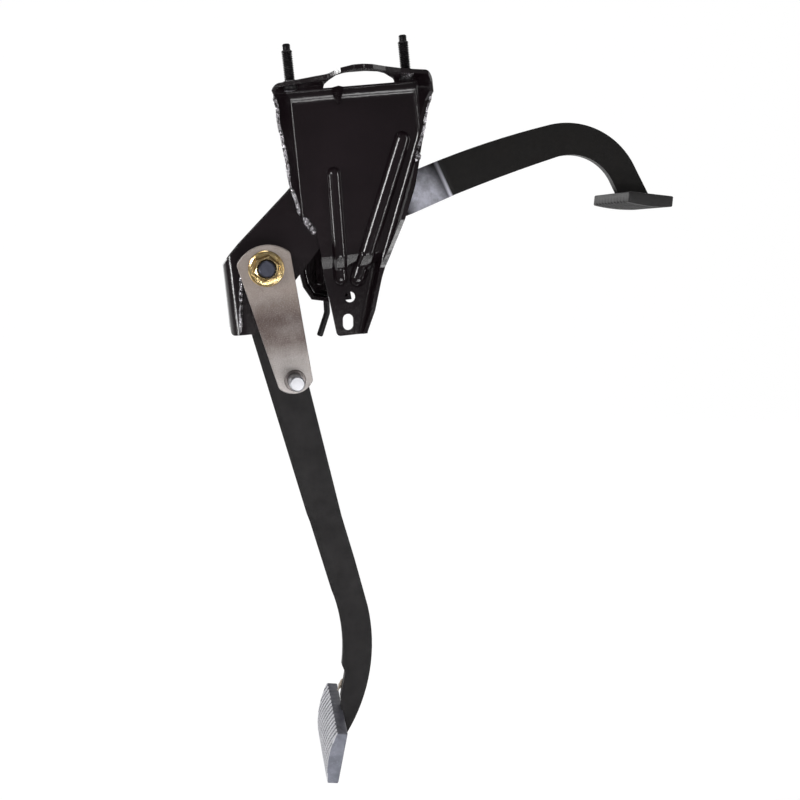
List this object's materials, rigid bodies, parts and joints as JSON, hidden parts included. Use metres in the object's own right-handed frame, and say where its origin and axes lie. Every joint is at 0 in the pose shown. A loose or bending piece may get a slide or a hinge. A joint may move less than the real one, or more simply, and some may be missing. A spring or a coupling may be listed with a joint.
{
  "type": "car pedal assembly",
  "caption": "Clutch and brake pedals on a stamped firewall bracket, with a cross shaft, a bare steel clutch lever and its rod pin.",
  "frame": {"origin": "midway between the two studs, on the firewall face of the bracket", "axes": "+Z along the studs towards the front of the vehicle, +Y along the pivot axis towards the clutch pedal, +X towards the floor"},
  "size_m": [0.3496, 0.2342, 0.6093],
  "materials": {
    "shell_black": "gloss",
    "arm_black": "satin",
    "stud_black": "satin",
    "plate_black": "satin",
    "bare_steel": "machined",
    "lever_steel": "stamped, mottled",
    "bright_pin": "turned",
    "yellow_zinc": "yellow zinc plated",
    "bush_plastic": "moulded",
    "bumper_rubber": "moulded",
    "clutch_rubber": "worn, greyed",
    "brake_rubber": "moulded"
  },
  "bodies": {
    "bracket": {"front_shell": "shell_black", "rear_shell": "shell_black", "front_pivot_cheek": "shell_black", "rear_pivot_cheek": "shell_black", "mounting_studs": "stud_black", "front_bearing_boss": "shell_black", "rear_bearing_boss": "shell_black", "front_bushing": "bush_plastic", "rear_bushing": "bush_plastic", "spring_hook": "shell_black", "brake_stop_bracket": "shell_black", "brake_stop_bumper": "bumper_rubber", "clutch_stop_bumper": "bumper_rubber"},
    "clutch_pedal": {"cross_shaft": "bare_steel", "clutch_arm": "arm_black", "clutch_lever": "lever_steel", "lever_pin": "bright_pin", "flange_nut": "yellow_zinc", "front_thrust_washer": "bare_steel", "rear_thrust_washer": "bare_steel", "clutch_pad_plate": "plate_black", "clutch_pad": "clutch_rubber"},
    "brake_pedal": {"brake_arm": "arm_black", "brake_hub": "arm_black", "brake_bushings": "bush_plastic", "brake_rod_pin": "bright_pin", "brake_pad_plate": "plate_black", "brake_pad": "brake_rubber"}
  },
  "joints": [
    {"name": "clutch_hinge", "type": "hinge", "parent": "bracket", "child": "clutch_pedal", "pos_m": [-0.0754, 0.063, -0.1319], "axis": [0, -1, 0], "range_deg": [0, 110]},
    {"name": "brake_hinge", "type": "hinge", "parent": "bracket", "child": "brake_pedal", "pos_m": [-0.0754, 0.063, -0.1319], "axis": [0, -1, 0], "range_deg": [0, 16]}
  ]
}
